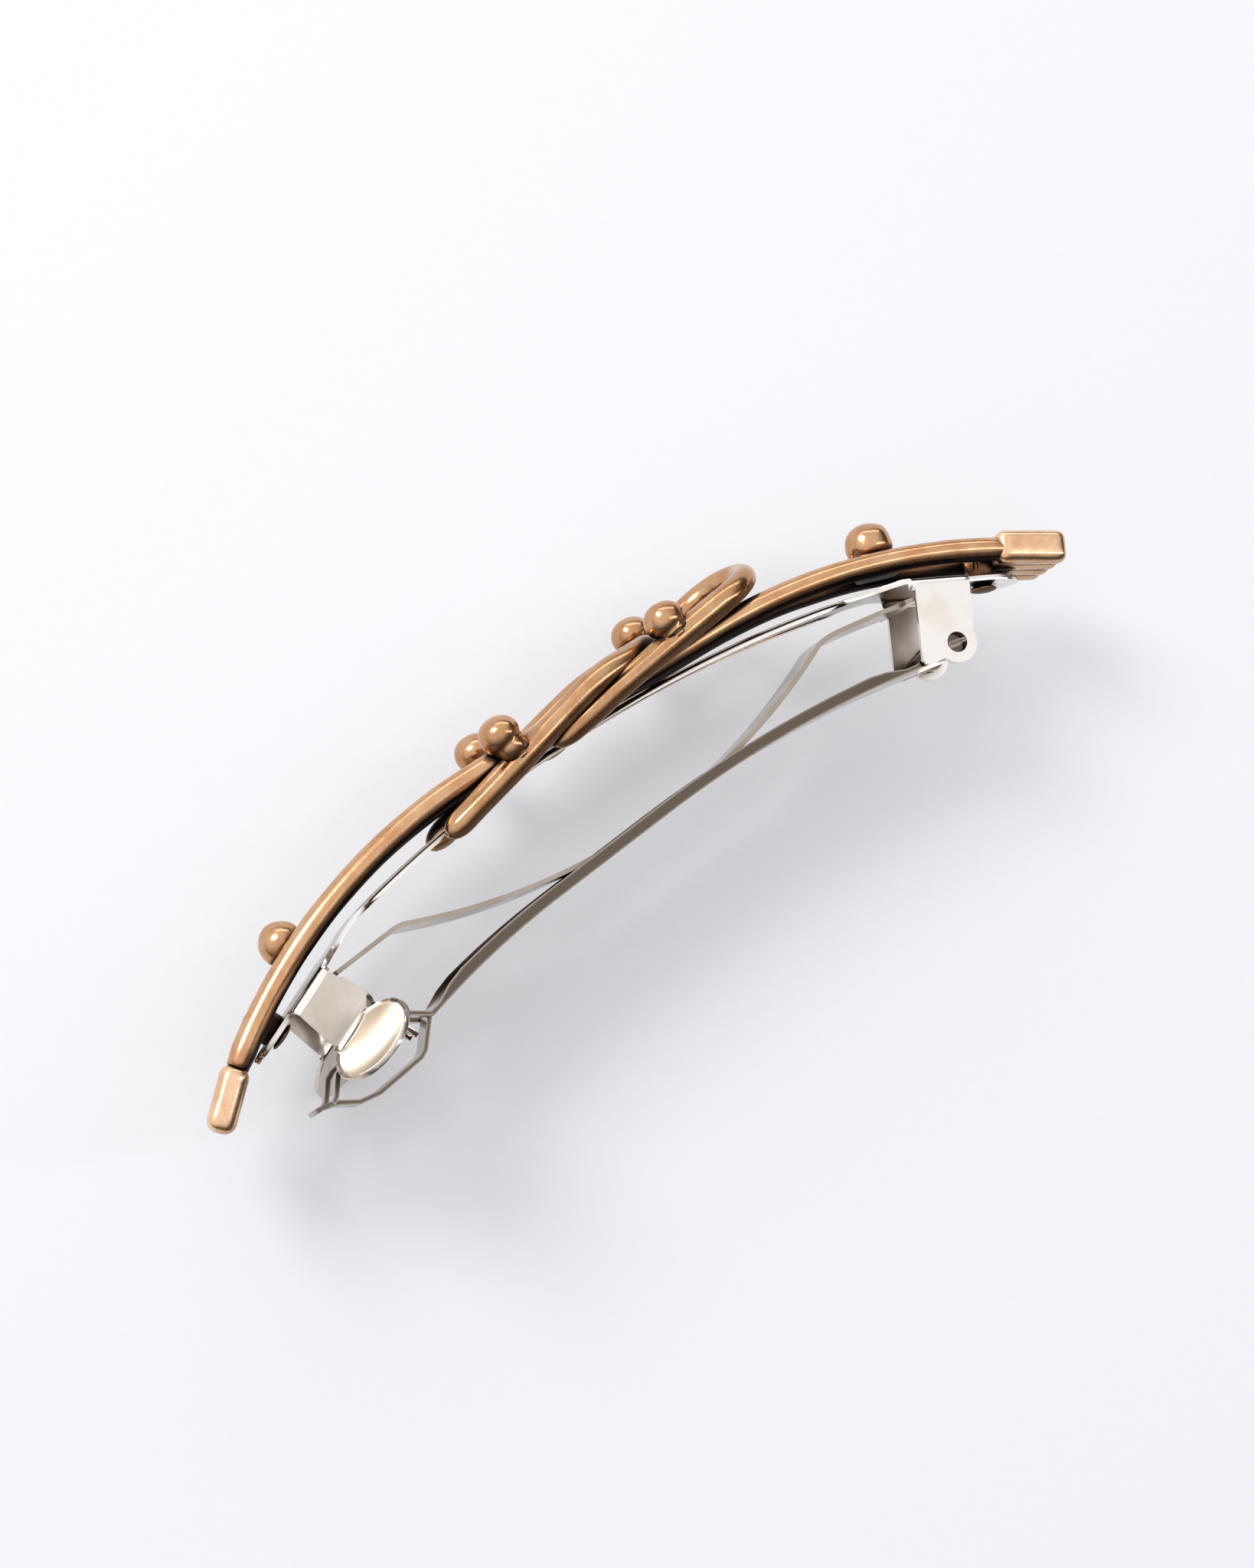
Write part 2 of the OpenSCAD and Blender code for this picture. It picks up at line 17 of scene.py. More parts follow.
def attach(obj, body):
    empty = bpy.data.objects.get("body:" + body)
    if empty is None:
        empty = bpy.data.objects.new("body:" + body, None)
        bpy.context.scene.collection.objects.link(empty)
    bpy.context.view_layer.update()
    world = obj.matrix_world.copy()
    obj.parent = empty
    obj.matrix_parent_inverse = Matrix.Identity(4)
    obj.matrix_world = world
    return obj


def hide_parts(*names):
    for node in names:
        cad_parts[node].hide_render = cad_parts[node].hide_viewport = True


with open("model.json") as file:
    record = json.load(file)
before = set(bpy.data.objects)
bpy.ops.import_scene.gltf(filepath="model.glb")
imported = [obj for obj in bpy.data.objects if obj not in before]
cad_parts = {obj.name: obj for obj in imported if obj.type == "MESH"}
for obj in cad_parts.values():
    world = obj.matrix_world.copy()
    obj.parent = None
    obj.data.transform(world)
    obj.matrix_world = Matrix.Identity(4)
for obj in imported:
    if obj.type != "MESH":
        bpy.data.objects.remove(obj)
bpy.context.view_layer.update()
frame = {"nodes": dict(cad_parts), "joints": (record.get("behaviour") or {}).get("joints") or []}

scene = bpy.context.scene

# %% [markdown]
# ## One set of axes
# Lengths along the clip are easiest to think of in millimetres from the
# clip's own middle, where its mid-plane is z = 0. The hinge joint in the
# record says where that middle lies in the frame, so one small function turns
# clip millimetres into frame metres.

# %% Clip millimetres to frame metres
MM = 0.001
HINGE_ON_CLIP = Vector((29.6, -1.77, 0.0))
hinge_joint = next(j for j in frame["joints"] if j["name"] == "arm_hinge")
clip_middle = Vector(hinge_joint["pos_m"]) - MM * HINGE_ON_CLIP


def at(x, y, z=0.0):
    return clip_middle + MM * Vector((x, y, z))


print("clip middle:", tuple(round(v, 5) for v in clip_middle))

# %% [markdown]
# ## Camera and light
# The barrette lies on its side and is seen from above, a little from the latch
# end. A fairly long lens keeps the two ends nearly the same size. The light is
# a big softbox above and to the left, a long one to the right, and a pale
# room all round: copper and nickel show mostly what they reflect, so the
# lamps are as much a part of the finish as the material is.

# %% Camera
look = Vector((0.29839987, 0.01956824, -0.95424033)).normalized()
up = Vector((0.4981231, 0.84963422, 0.17319087)).normalized()
right = look.cross(up).normalized()
up = right.cross(look)
aim = at(-1.798, 2.792)
camera_far = 0.277
camera_data = bpy.data.cameras.new("camera")
camera_data.sensor_fit = "VERTICAL"
camera_data.sensor_height = 36
camera_data.lens = 74.01
camera_data.clip_start = 0.01
camera = bpy.data.objects.new("camera", camera_data)
scene.collection.objects.link(camera)
turn = Matrix((right, up, -look)).transposed().to_4x4()
camera.matrix_world = Matrix.Translation(aim - look * camera_far) @ turn
scene.camera = camera
print("camera at", tuple(round(v, 4) for v in camera.location))

# %% Softboxes


def softbox(name, side, rise, near, size, watts):
    """A square or long lamp that faces the barrette, placed by the camera's own axes."""
    lamp = bpy.data.lights.new(name, "AREA")
    lamp.shape = "RECTANGLE"
    lamp.size, lamp.size_y = size
    lamp.energy = watts
    holder = bpy.data.objects.new(name, lamp)
    place = aim + right * side + up * rise - look * near
    turned = (place - aim).to_track_quat("Z", "Y").to_matrix().to_4x4()
    holder.matrix_world = Matrix.Translation(place) @ turned
    scene.collection.objects.link(holder)
    return holder


softbox("key_softbox", -0.28, 0.34, 0.42, (0.22, 0.22), 2.0)
softbox("fill_softbox", 0.50, 0.10, 0.30, (0.08, 0.50), 0.45)
softbox("top_softbox", 0.05, 0.55, 0.10, (0.6, 0.10), 0.4)

room = bpy.data.worlds.new("pale_room")
room.use_nodes = True
room_tree = room.node_tree
room_where = room_tree.nodes.new("ShaderNodeTexCoord")
room_split = room_tree.nodes.new("ShaderNodeVectorMath")
room_split.operation = "DOT_PRODUCT"
room_split.inputs[1].default_value = Vector((-0.25, 0.50, 0.83)).normalized()
room_shade = room_tree.nodes.new("ShaderNodeValToRGB")
room_tree.links.new(room_where.outputs["Generated"], room_split.inputs[0])
room_tree.links.new(room_split.outputs["Value"], room_shade.inputs["Fac"])
room_tree.links.new(room_shade.outputs["Color"], room_tree.nodes["Background"].inputs["Color"])
room_shade.color_ramp.elements[0].position = 0.10
room_shade.color_ramp.elements[0].color = (0.09, 0.07, 0.055, 1)
room_shade.color_ramp.elements[1].position = 0.72
room_shade.color_ramp.elements[1].color = (1.0, 1.0, 1.02, 1)
room_tree.nodes["Background"].inputs["Strength"].default_value = 1.08
scene.world = room
scene.view_settings.view_transform = "Standard"

# %% [markdown]
# ## Node helpers
# Every finish is made of the same few steps: a noise, a ramp that picks out
# part of it, and a mix of two colours. Short helpers keep each material
# readable as the list of things that happened to the metal.

# %% Material helpers


def new_material(name):
    """An empty principled material, and a function that adds nodes to it."""
    made = bpy.data.materials.new(name)
    made.use_nodes = True
    tree = made.node_tree
    shader = tree.nodes["Principled BSDF"]

    def add(kind, links=None, **values):
        node = tree.nodes.new(kind)
        for key, value in values.items():
            if hasattr(node, key):
                setattr(node, key, value)
            else:
                node.inputs[key.replace("_", " ")].default_value = value
        for socket, source in (links or {}).items():
            tree.links.new(source, node.inputs[socket])
        return node

    return made, tree, shader, add


def ramp(add, source, low, high, dark=0.0, light=1.0):
    """Maps source from low..high to dark..light, smoothly."""
    node = add("ShaderNodeMapRange", {"Value": source}, interpolation_type="SMOOTHSTEP")
    node.inputs["From Min"].default_value = low
    node.inputs["From Max"].default_value = high
    node.inputs["To Min"].default_value = dark
    node.inputs["To Max"].default_value = light
    return node.outputs["Result"]


def blend_colour(add, amount, first, second):
    """Mixes two colours, each a plain colour or another node's output."""
    node = add("ShaderNodeMix", {"Factor": amount}, data_type="RGBA")
    for socket, value in ((node.inputs[6], first), (node.inputs[7], second)):
        if isinstance(value, tuple):
            socket.default_value = value
        else:
            node.id_data.links.new(value, socket)
    return node.outputs[2]


def reckon(add, kind, first, second):
    """One sum on two numbers or outputs."""
    node = add("ShaderNodeMath", operation=kind)
    for socket, value in zip(node.inputs, (first, second)):
        if isinstance(value, (int, float)):
            socket.default_value = value
        else:
            node.id_data.links.new(value, socket)
    return node.outputs[0]


# %% [markdown]
# ## Aged copper
# Antiqued copper is dipped until it turns black, then polished: the black
# stays in the grooves and under the beads, and the high places come up bright
# rose gold. Ambient occlusion finds the places that a polishing cloth can't
# reach, and noise makes the edge of the black ragged. A long reach fills the
# broad recesses, a short one the narrow creases. Faces that turn downwards
# are blackened too, as painted shade. Small pits and a fine grain break up the shine.

# %% Copper finish


def make_copper(name, black=0.5, tone=(0.66, 0.395, 0.22, 1), underside_shade=0.0):
    """Polished copper, black with oxidation in its recesses; a higher black leaves more of it, and
    the last argument paints shade on the faces turned down.
    """
    copper, tree, shader, add = new_material(name)
    where = add("ShaderNodeTexCoord").outputs["Object"]
    patches = add("ShaderNodeTexNoise", {"Vector": where}, Scale=420.0, Detail=4.0, Roughness=0.6)
    grain = add("ShaderNodeTexNoise", {"Vector": where}, Scale=5200.0, Detail=3.0, Roughness=0.7)
    pits = add("ShaderNodeTexVoronoi", {"Vector": where}, Scale=1500.0, Randomness=1.0)
    hidden = add("ShaderNodeAmbientOcclusion", samples=8, Distance=3.5 * MM)
    normal = add("ShaderNodeTexCoord").outputs["Normal"]
    facing = add("ShaderNodeSeparateXYZ", {"Vector": normal}).outputs["Y"]
    tight = add("ShaderNodeAmbientOcclusion", samples=8, Distance=0.8 * MM)
    ragged = reckon(add, "MULTIPLY_ADD", patches.outputs["Fac"], 0.30)
    ragged.node.inputs[2].default_value = -0.15
    reach = reckon(add, "ADD", hidden.outputs["AO"], ragged)
    oxide_and_shade = ramp(add, reach, black - 0.20, black + 0.16, 1.0, 0.0)
    # Painted shade: faces whose normal points to -y, the lower side as the barrette lies, go black by
    # the last argument's amount; the mask below then holds oxide and painted shade together.
    below = ramp(add, reckon(add, "ADD", facing, ragged), -0.72, -0.32, underside_shade, 0.0)
    oxide_and_shade = reckon(add, "MAXIMUM", oxide_and_shade, below)
    crease = ramp(add, reckon(add, "ADD", tight.outputs["AO"], ragged), 0.46, 0.82, 1.0, 0.0)
    oxide_and_shade = reckon(add, "MAXIMUM", oxide_and_shade, crease)
    pit = ramp(add, pits.outputs["Distance"], 0.05, 0.16, 1.0, 0.0)
    rare = ramp(add, patches.outputs["Fac"], 0.56, 0.66, 0.0, 1.0)
    pit = reckon(add, "MULTIPLY", pit, rare)
    warm = ramp(add, patches.outputs["Fac"], 0.35, 0.68)
    body = blend_colour(add, warm, tone, (tone[0] * 0.86, tone[1] * 0.74, tone[2] * 0.66, 1))
    body = blend_colour(add, reckon(add, "MULTIPLY", pit, 0.75), body, (0.10, 0.045, 0.03, 1))
    body = blend_colour(add, oxide_and_shade, body, (0.016, 0.010, 0.009, 1))
    tree.links.new(body, shader.inputs["Base Color"])
    shader.inputs["Metallic"].default_value = 1.0
    rough = ramp(add, grain.outputs["Fac"], 0.3, 0.7, 0.15, 0.25)
    rough = reckon(add, "ADD", rough, reckon(add, "MULTIPLY", oxide_and_shade, 0.35))
    tree.links.new(rough, shader.inputs["Roughness"])
    height = reckon(add, "ADD", patches.outputs["Fac"],
                    reckon(add, "MULTIPLY", grain.outputs["Fac"], 0.04))
    height = reckon(add, "SUBTRACT", height, reckon(add, "MULTIPLY", pit, 0.5))
    bump = add("ShaderNodeBump", {"Height": height}, Strength=0.30, Distance=0.08 * MM)
    tree.links.new(bump.outputs["Normal"], shader.inputs["Normal"])
    return copper


copper_rail = make_copper("aged_copper_rail", 0.50, underside_shade=1.0)
# The far rail gets a higher black than the near rail, so more of it turns black: painted shade, since
# it lies lower, under the near rail.
copper_far_rail_shaded = make_copper("aged_copper_far_rail_shaded", 0.72, underside_shade=1.0)
copper_loop = make_copper("aged_copper_loop", 0.66, (0.58, 0.345, 0.185, 1), underside_shade=0.5)
copper_bead = make_copper("aged_copper_bead", 0.54, (0.60, 0.355, 0.195, 1), underside_shade=0.85)
# The bars get a much paler copper tone, less black and less underside shade than the rest: a painted
# highlight along their rounded tops.
copper_bar_lit = make_copper("aged_copper_bar_lit", 0.40, (0.90, 0.62, 0.40, 1), underside_shade=0.3)
print("copper finishes ready")

# %% [markdown]
# ## Nickel-plated steel
# Sheet steel is rolled, so it has very fine lines along its length. The plate
# of nickel over it is bright, faintly warm, and a little cloudy where fingers
# and the press tools have touched it.

# %% Nickel finish


def make_nickel(name, tone=(0.66, 0.62, 0.56, 1), dull=0.0, side_shade=0.0):
    """Nickel with rolling lines along x; dull adds roughness, and the last argument paints shade on
    the narrow side faces, away from their rounded edges.
    """
    nickel, tree, shader, add = new_material(name)
    where = add("ShaderNodeTexCoord").outputs["Object"]
    drawn = add("ShaderNodeMapping", {"Vector": where}, vector_type="POINT")
    drawn.inputs["Scale"].default_value = (0.06, 1.0, 1.0)
    lines = add("ShaderNodeTexNoise", {"Vector": drawn.outputs["Vector"]},
                Scale=9000.0, Detail=2.0, Roughness=0.6)
    cloud = add("ShaderNodeTexNoise", {"Vector": where}, Scale=260.0, Detail=3.0, Roughness=0.5)
    # Painted shade: where other surfaces lie within 0.6 mm, the nickel darkens to brown.
    hidden = add("ShaderNodeAmbientOcclusion", samples=8, Distance=0.6 * MM)
    painted_crease_shade = ramp(add, hidden.outputs["AO"], 0.25, 0.62, 0.7, 0.0)
    stain = ramp(add, cloud.outputs["Fac"], 0.42, 0.70)
    body = blend_colour(add, stain, tone, (tone[0] * 0.88, tone[1] * 0.84, tone[2] * 0.79, 1))
    body = blend_colour(add, painted_crease_shade, body, (0.16, 0.12, 0.09, 1))
    # Painted reflection and shade: within 6 mm of other parts the nickel turns brown, standing in for
    # the copper it reflects and the shade inside the clip.
    enclosure_reach = add("ShaderNodeAmbientOcclusion", samples=8, Distance=6.0 * MM)
    painted_copper_reflection = ramp(add, enclosure_reach.outputs["AO"], 0.40, 0.88, 0.85, 0.0)
    body = blend_colour(add, painted_copper_reflection, body, (0.24, 0.18, 0.135, 1))
    if side_shade:
        # Painted shade: faces turned sideways, with a small normal z, are browned, except near their
        # rounded edges, which keep the plain tone and so stay bright.
        normal = add("ShaderNodeTexCoord").outputs["Normal"]
        turned = add("ShaderNodeSeparateXYZ", {"Vector": normal}).outputs["Z"]
        rounded = add("ShaderNodeBevel", samples=6, Radius=0.36 * MM)
        soft = add("ShaderNodeVectorMath", operation="DOT_PRODUCT")
        tree.links.new(rounded.outputs["Normal"], soft.inputs[0])
        tree.links.new(add("ShaderNodeNewGeometry").outputs["Normal"], soft.inputs[1])
        inner = ramp(add, soft.outputs["Value"], 0.86, 0.985)
        side = ramp(add, reckon(add, "ABSOLUTE", turned, 0.0), 0.55, 0.85, 0.0, side_shade)
        painted_side_shade = reckon(add, "MULTIPLY", side, inner)
        body = blend_colour(add, painted_side_shade, body, (0.115, 0.088, 0.066, 1))
    tree.links.new(body, shader.inputs["Base Color"])
    shader.inputs["Metallic"].default_value = 1.0
    rough = ramp(add, cloud.outputs["Fac"], 0.3, 0.7, 0.12 + dull, 0.24 + dull)
    tree.links.new(rough, shader.inputs["Roughness"])
    bump = add("ShaderNodeBump", {"Height": lines.outputs["Fac"]},
               Strength=0.16, Distance=0.01 * MM)
    tree.links.new(bump.outputs["Normal"], shader.inputs["Normal"])
    return nickel


nickel_sheet = make_nickel("nickel_sheet", (0.90, 0.87, 0.82, 1))
# The spring and the arm are the same nickel as the sheet but get much darker, browner tones: painted
# shade on the parts that sit under and inside the clip.
nickel_spring_shaded = make_nickel("nickel_spring_shaded", (0.40, 0.35, 0.295, 1))
nickel_arm_shaded = make_nickel("nickel_arm_shaded", (0.44, 0.39, 0.33, 1), side_shade=0.95)
nickel_pressed = make_nickel("nickel_pressed", (0.66, 0.61, 0.55, 1), 0.04)
print("nickel finishes ready")

# %% [markdown]
# ## Finishing a piece
# Every new piece ends the same way: doubles merged, normals turned outward,
# smooth shading, then it rides on its CAD body and stands in for its CAD node.

# %% Turn a bmesh into a piece


def finish_piece(name, shape, material, body, nodes):
    bmesh.ops.remove_doubles(shape, verts=shape.verts, dist=0.0005 * MM)
    bmesh.ops.recalc_face_normals(shape, faces=shape.faces)
    mesh = bpy.data.meshes.new(name)
    shape.to_mesh(mesh)
    shape.free()
    mesh.shade_smooth()
    piece = bpy.data.objects.new(name, mesh)
    scene.collection.objects.link(piece)
    mesh.materials.append(material)
    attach(piece, body)
    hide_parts(*nodes)
    print(name, "has", len(mesh.polygons), "faces")
    return piece


# %% [markdown]
# ## Wire
# A wire is a round section carried along a line. Starting from one circle, the
# edge loop is extruded again and again, and each new loop is moved to the next
# place on the line: the same thing a jeweller's draw plate and a pair of
# pliers do. The section can grow, shrink or be dented on the way.

# %% Sweep a round section along a path
WIRE_SIDES = 32


def along(path, i):
    """The path's direction at point i."""
    return (path[min(i + 1, len(path) - 1)] - path[max(i - 1, 0)]).normalized()


def section_place(path, i):
    """Stands a flat section at point i, its x axis towards the ornament's outside."""
    ahead = along(path, i)
    side = ahead.cross(Vector((0, 1, 0))).normalized()
    outward = side.cross(ahead).normalized()
    return Matrix.Translation(path[i]) @ Matrix((outward, side, ahead)).transposed().to_4x4()


def sweep(path, radius_at, dent_at=None):
    """A closed wire; radius_at(i) is its radius, dent_at(i, angle) pushes a point in."""
    wire = bmesh.new()
    ring = bmesh.ops.create_circle(wire, segments=WIRE_SIDES, radius=1.0)["verts"]
    edges = list({e for v in ring for e in v.link_edges})
    loops = [ring]
    for _ in path[1:]:
        grown = bmesh.ops.extrude_edge_only(wire, edges=edges)["geom"]
        loops.append([g for g in grown if isinstance(g, bmesh.types.BMVert)])
        edges = [g for g in grown if isinstance(g, bmesh.types.BMEdge)
                 and len(g.link_faces) == 1]
    for i, ring in enumerate(loops):
        stand = section_place(path, i)
        for vert in ring:
            angle = math.atan2(vert.co.y, vert.co.x)
            reach = radius_at(i) * (1 - (dent_at(i, angle) if dent_at else 0))
            vert.co = stand @ Vector((reach * math.cos(angle), reach * math.sin(angle), 0))
    bmesh.ops.holes_fill(wire, edges=[e for e in wire.edges if e.is_boundary], sides=0)
    return wire


def uneven(point, much, scale=260.0):
    """A slow change of size, so that no wire is perfectly even."""
    return 1 + much * noise.noise(point * scale)


# %% [markdown]
# ## The two rails
# Each rail is one long copper wire, straight over the middle and curved down to
# both ends. The ornament is slightly twisted, so the far rail lies a little
# lower at the latch end. Where a rail meets its end bar the solder joint is
# pinched in and dark.

# %% Rails
RAIL_R = 1.05
RAIL_Z = 3.075
RAIL_Y = 10.05
curve_left = {"near": (-13.0, 50.2, 37.6), "far": (-12.5, 48.6, 38.4)}
curve_right = (11.8, 54.5, 29.5)


def curve_points(curve, side, count):
    """Points on one of a rail's end curves, from its start to the end bar."""
    start, radius, angle = curve
    points = []
    for k in range(count + 1):
        a = math.radians(angle) * k / count
        points.append((start + side * radius * math.sin(a), RAIL_Y - radius * (1 - math.cos(a))))
    return points


def rail_path(which):
    """The rail's whole centre line, from the latch end to the hinge end."""
    z = RAIL_Z if which == "near" else -RAIL_Z
    left = curve_points(curve_left[which], -1, 70)[::-1]
    flat = [(x, RAIL_Y) for x in range(-12, 12)]
    line = left + flat + curve_points(curve_right, 1, 60)
    return [at(x, y, z) for x, y in line]


def make_rail(which):
    """One rail as a slightly uneven wire, pinched at its two ends."""
    path = rail_path(which)
    last = len(path) - 1

    def radius(i):
        pinch = min(i, last - i)
        waist = (0.86, 0.90, 0.96)[pinch] if pinch < 3 else 1.0
        return MM * RAIL_R * waist * uneven(path[i], 0.035)

    return finish_piece("rail_wire_" + which, sweep(path, radius),
                        copper_rail if which == "near" else copper_far_rail_shaded, "clip",
                        ["rail_" + which])


make_rail("near")
make_rail("far")

# %% [markdown]
# ## The knot loops
# A knot loop is a U of wire laid round both rails. Each starts low beside the
# rails at the latch end and climbs until it crosses over them. Hammering and
# casting leave the wires flattened, with a long dent along the face where two
# strands have run together.

# %% Knot loops
LOOP_W = 9.5
LOOP_R = 1.12
LEVEL_OFF = 2.0
SIDE_STEPS, TURN_STEPS, TIP_STEPS = 46, 40, 6
# tip x, start of the crossing, its length, height at x = 0, slope, knee, tuck, roll, roll growth
loops = {
    "low": (-18.8, -2.5, 8.5, 12.0, 0.272, 0.3, 0.9, 0.03, 0.0),
    "high": (-6.6, 12.6, 4.4, 10.05, 0.2, 17.0, 1.3, 0.02, 0.01),
}


def loop_y(shape, x, z):
    """The wire's height: a slope that levels off at its knee, rolled a little about x."""
    _, _, _, height, slope, knee, _, roll, growth = shape
    d = knee - x
    rise = (d + math.sqrt(d * d + LEVEL_OFF ** 2)) / 2
    return height + slope * (knee - rise) - z * (roll + growth * max(x, 0))


def loop_path(shape):
    """Along the near side, round the crossing and back along the far side."""
    tip, crossing, length, tuck = shape[0], shape[1], shape[2], shape[6]
    side = []
    for k in range(SIDE_STEPS):
        t = k / SIDE_STEPS
        side.append((tip + (crossing - tip) * t, LOOP_W / 2 - tuck * (1 - t) ** 3))
    turn = []
    for k in range(TURN_STEPS + 1):
        a = math.pi * k / TURN_STEPS
        turn.append((crossing + length * math.sin(a), math.cos(a) * LOOP_W / 2))
    line = side + turn + [(x, -z) for x, z in reversed(side)]
    return [at(x, loop_y(shape, x, z), z) for x, z in line]


def make_loop(which):
    """One knot loop, with rounded tips and a long dent on its outer near face."""
    shape = loops[which]
    path = loop_path(shape)
    last = len(path) - 1

    def radius(i):
        end = min(i, last - i) / TIP_STEPS
        tip = math.sqrt(1 - (1 - min(end, 1)) ** 2) if end < 1 else 1
        return MM * LOOP_R * max(tip, 0.12) * uneven(path[i], 0.12, 180.0)

    def dent(i, angle):
        part = min(i, last - i) / SIDE_STEPS
        fade = max(0.0, 1 - abs(part - 0.36) / 0.34)
        groove = math.exp(-((angle - (0.75 if i < last / 2 else -0.75)) / 0.30) ** 2)
        return 0.26 * fade ** 0.5 * groove

    return finish_piece("knot_wire_" + which, sweep(path, radius, dent), copper_loop, "clip",
                        ["knot_loop_" + which])


make_loop("low")
make_loop("high")

# %% [markdown]
# ## Beads
# A granulation bead is a drop of copper melted on charcoal until it pulls
# itself round, then soldered down. It could be a sphere, but a real one is
# flattened a little, and its neck is undercut and black. One half-profile spun
# round its axis gives all of that in one turned form. One bead near each
# end sits between the rails, the other four stand on the knot loops, and the
# pair at the latch end has longer necks that lift it clear of the wire.

# %% Beads
BEAD_R = 2.05
BEAD_TOP = 3.4
WIDEST = 1.4
LOOP_BEAD_SIZE = 0.9
LOOP_BEAD_FOOT = 0.55
LOOP_SEAT = 1.15


def rail_height(x, which):
    """Height of one rail's centre line at x, on either end curve."""
    start, radius = (curve_left[which] if x < 0 else curve_right)[:2]
    return RAIL_Y - (radius - math.sqrt(radius ** 2 - (x - start) ** 2))


def bead_profile(neck, foot_r, foot_low, size):
    """Half of the bead's outline: foot, undercut neck, and dome."""
    line = [(0, foot_low - neck), (foot_r, foot_low - neck), (foot_r, -0.10 - neck),
            (foot_r - 0.12, 0.02 - neck), (1.45, 0.10 - neck), (1.42, 0.2)]
    for k in range(1, 7):
        a = math.radians(-42 * (1 - k / 7))
        line.append((size * BEAD_R * math.cos(a), WIDEST + WIDEST * 1.1 * math.sin(a)))
    for k in range(15):
        a = math.pi / 2 * k / 14
        line.append((size * BEAD_R * math.cos(a),
                     WIDEST + (size * BEAD_TOP - WIDEST) * math.sin(a)))
    return line


def make_bead(name, foot, lean, neck, foot_r, foot_low, size):
    """Spins the profile, then stands the bead on its foot, leaning with the rail."""
    bead = bmesh.new()
    line = [bead.verts.new((r, h, 0)) for r, h in bead_profile(neck, foot_r, foot_low, size)]
    edges = [bead.edges.new(pair) for pair in zip(line, line[1:])]
    bmesh.ops.spin(bead, geom=line + edges, cent=(0, 0, 0), axis=(0, 1, 0),
                   angle=math.tau, steps=40, use_merge=True)
    for vert in bead.verts:
        vert.co *= uneven(vert.co + Vector((foot.x * 900, 0, 0)), 0.05, 0.6)
    bmesh.ops.scale(bead, vec=(MM, MM, MM), verts=bead.verts)
    stand = Matrix.Translation(foot) @ Matrix.Rotation(lean, 4, "Z")
    bmesh.ops.transform(bead, matrix=stand, verts=bead.verts)
    return finish_piece(name + "_drop", bead, copper_bead, "clip", [name])


rail_seat = RAIL_Z - RAIL_R + 0.03
for name, x, neck, size in (("bead_left", -34.1, 0.1, 0.95), ("bead_right", 28.3, 0.7, 1.06)):
    start, radius = (curve_left["near"] if x < 0 else curve_right)[:2]
    lean = math.asin((start - x) / radius)
    middle = (rail_height(x, "near") + rail_height(x, "far")) / 2
    foot = at(x - neck * math.sin(lean), middle + neck * math.cos(lean))
    make_bead(name, foot, lean, neck, rail_seat, -0.7, size)
for end, which, x, lift in (("left", "low", -10.2, 0.8), ("right", "high", 7.5, 0.0)):
    for side, sign in (("near", 1), ("far", -1)):
        z = sign * LOOP_W / 2
        foot = at(x, loop_y(loops[which], x, z) + LOOP_BEAD_FOOT + lift, z)
        make_bead("bead_%s_%s" % (side, end), foot, math.atan(loops[which][4]),
                  0.1 + lift, LOOP_SEAT, -0.4, LOOP_BEAD_SIZE)

# %% [markdown]
# ## End bars
# Each end of the ornament is closed by four short bars side by side. They are
# soft-edged blocks, so a cube with well-rounded edges is the natural start;
# the V-shaped gaps between neighbours then come by themselves.

# %% End bars
BAR_PITCH = 2.05
# start of the nearest bar, direction, length, height, shift of the farthest bar, rounding
bar_rows = {
    "left": (-43.6, -0.3, 223.0, 5.6, 2.45, 0.93, 0.92),
    "right": (37.93, 3.55, -29.0, 6.5, 2.95, 0.0, 0.80),
}


def make_bar(end, index):
    """One bar: a cube stretched, cut across, rounded, and turned to its row."""
    x, y, direction, length, height, shift, rounding = bar_rows[end]
    bar = bmesh.new()
    bmesh.ops.create_cube(bar, size=1)
    bmesh.ops.scale(bar, vec=(length, height, BAR_PITCH), verts=bar.verts)
    bmesh.ops.bevel(bar, geom=list(bar.edges), offset=rounding, offset_type="OFFSET", segments=5,
                    profile=0.5, affect="EDGES", material=-1)
    long_edges = [e for e in bar.edges if abs((e.verts[0].co - e.verts[1].co).x) > length / 2]
    bmesh.ops.subdivide_edges(bar, edges=long_edges, cuts=10, use_grid_fill=True)
    for vert in bar.verts:
        vert.co.yz *= uneven(vert.co + Vector((index * 7.0, 0, 0)), 0.035, 0.5)
    bmesh.ops.translate(bar, vec=(length / 2, 0, 0), verts=bar.verts)
    bmesh.ops.scale(bar, vec=(MM, MM, MM), verts=bar.verts)
    start = at(x + shift * (4 - index) / 3, y, (index - 2.5) * BAR_PITCH)
    stand = Matrix.Translation(start) @ Matrix.Rotation(math.radians(direction), 4, "Z")
    bmesh.ops.transform(bar, matrix=stand, verts=bar.verts)
    node = "%s_end_bar_%d" % (end, index)
    return finish_piece(node + "_block", bar, copper_bar_lit, "clip", [node])


for end in ("left", "right"):
    for index in (1, 2, 3, 4):
        make_bar(end, index)

# %% [markdown]
# ## The stamped base strip
# The strip is cut from flat sheet, arched, and its edges are turned down to
# stiffen it; at the latch and at the hinge it is wider, and its sides are bent
# down into walls and ears. A flat grid is the blank: each cross row of points
# is pulled to the width of the outline there and its outer points are rolled
# over the bend. Solidify then gives the sheet its thickness.

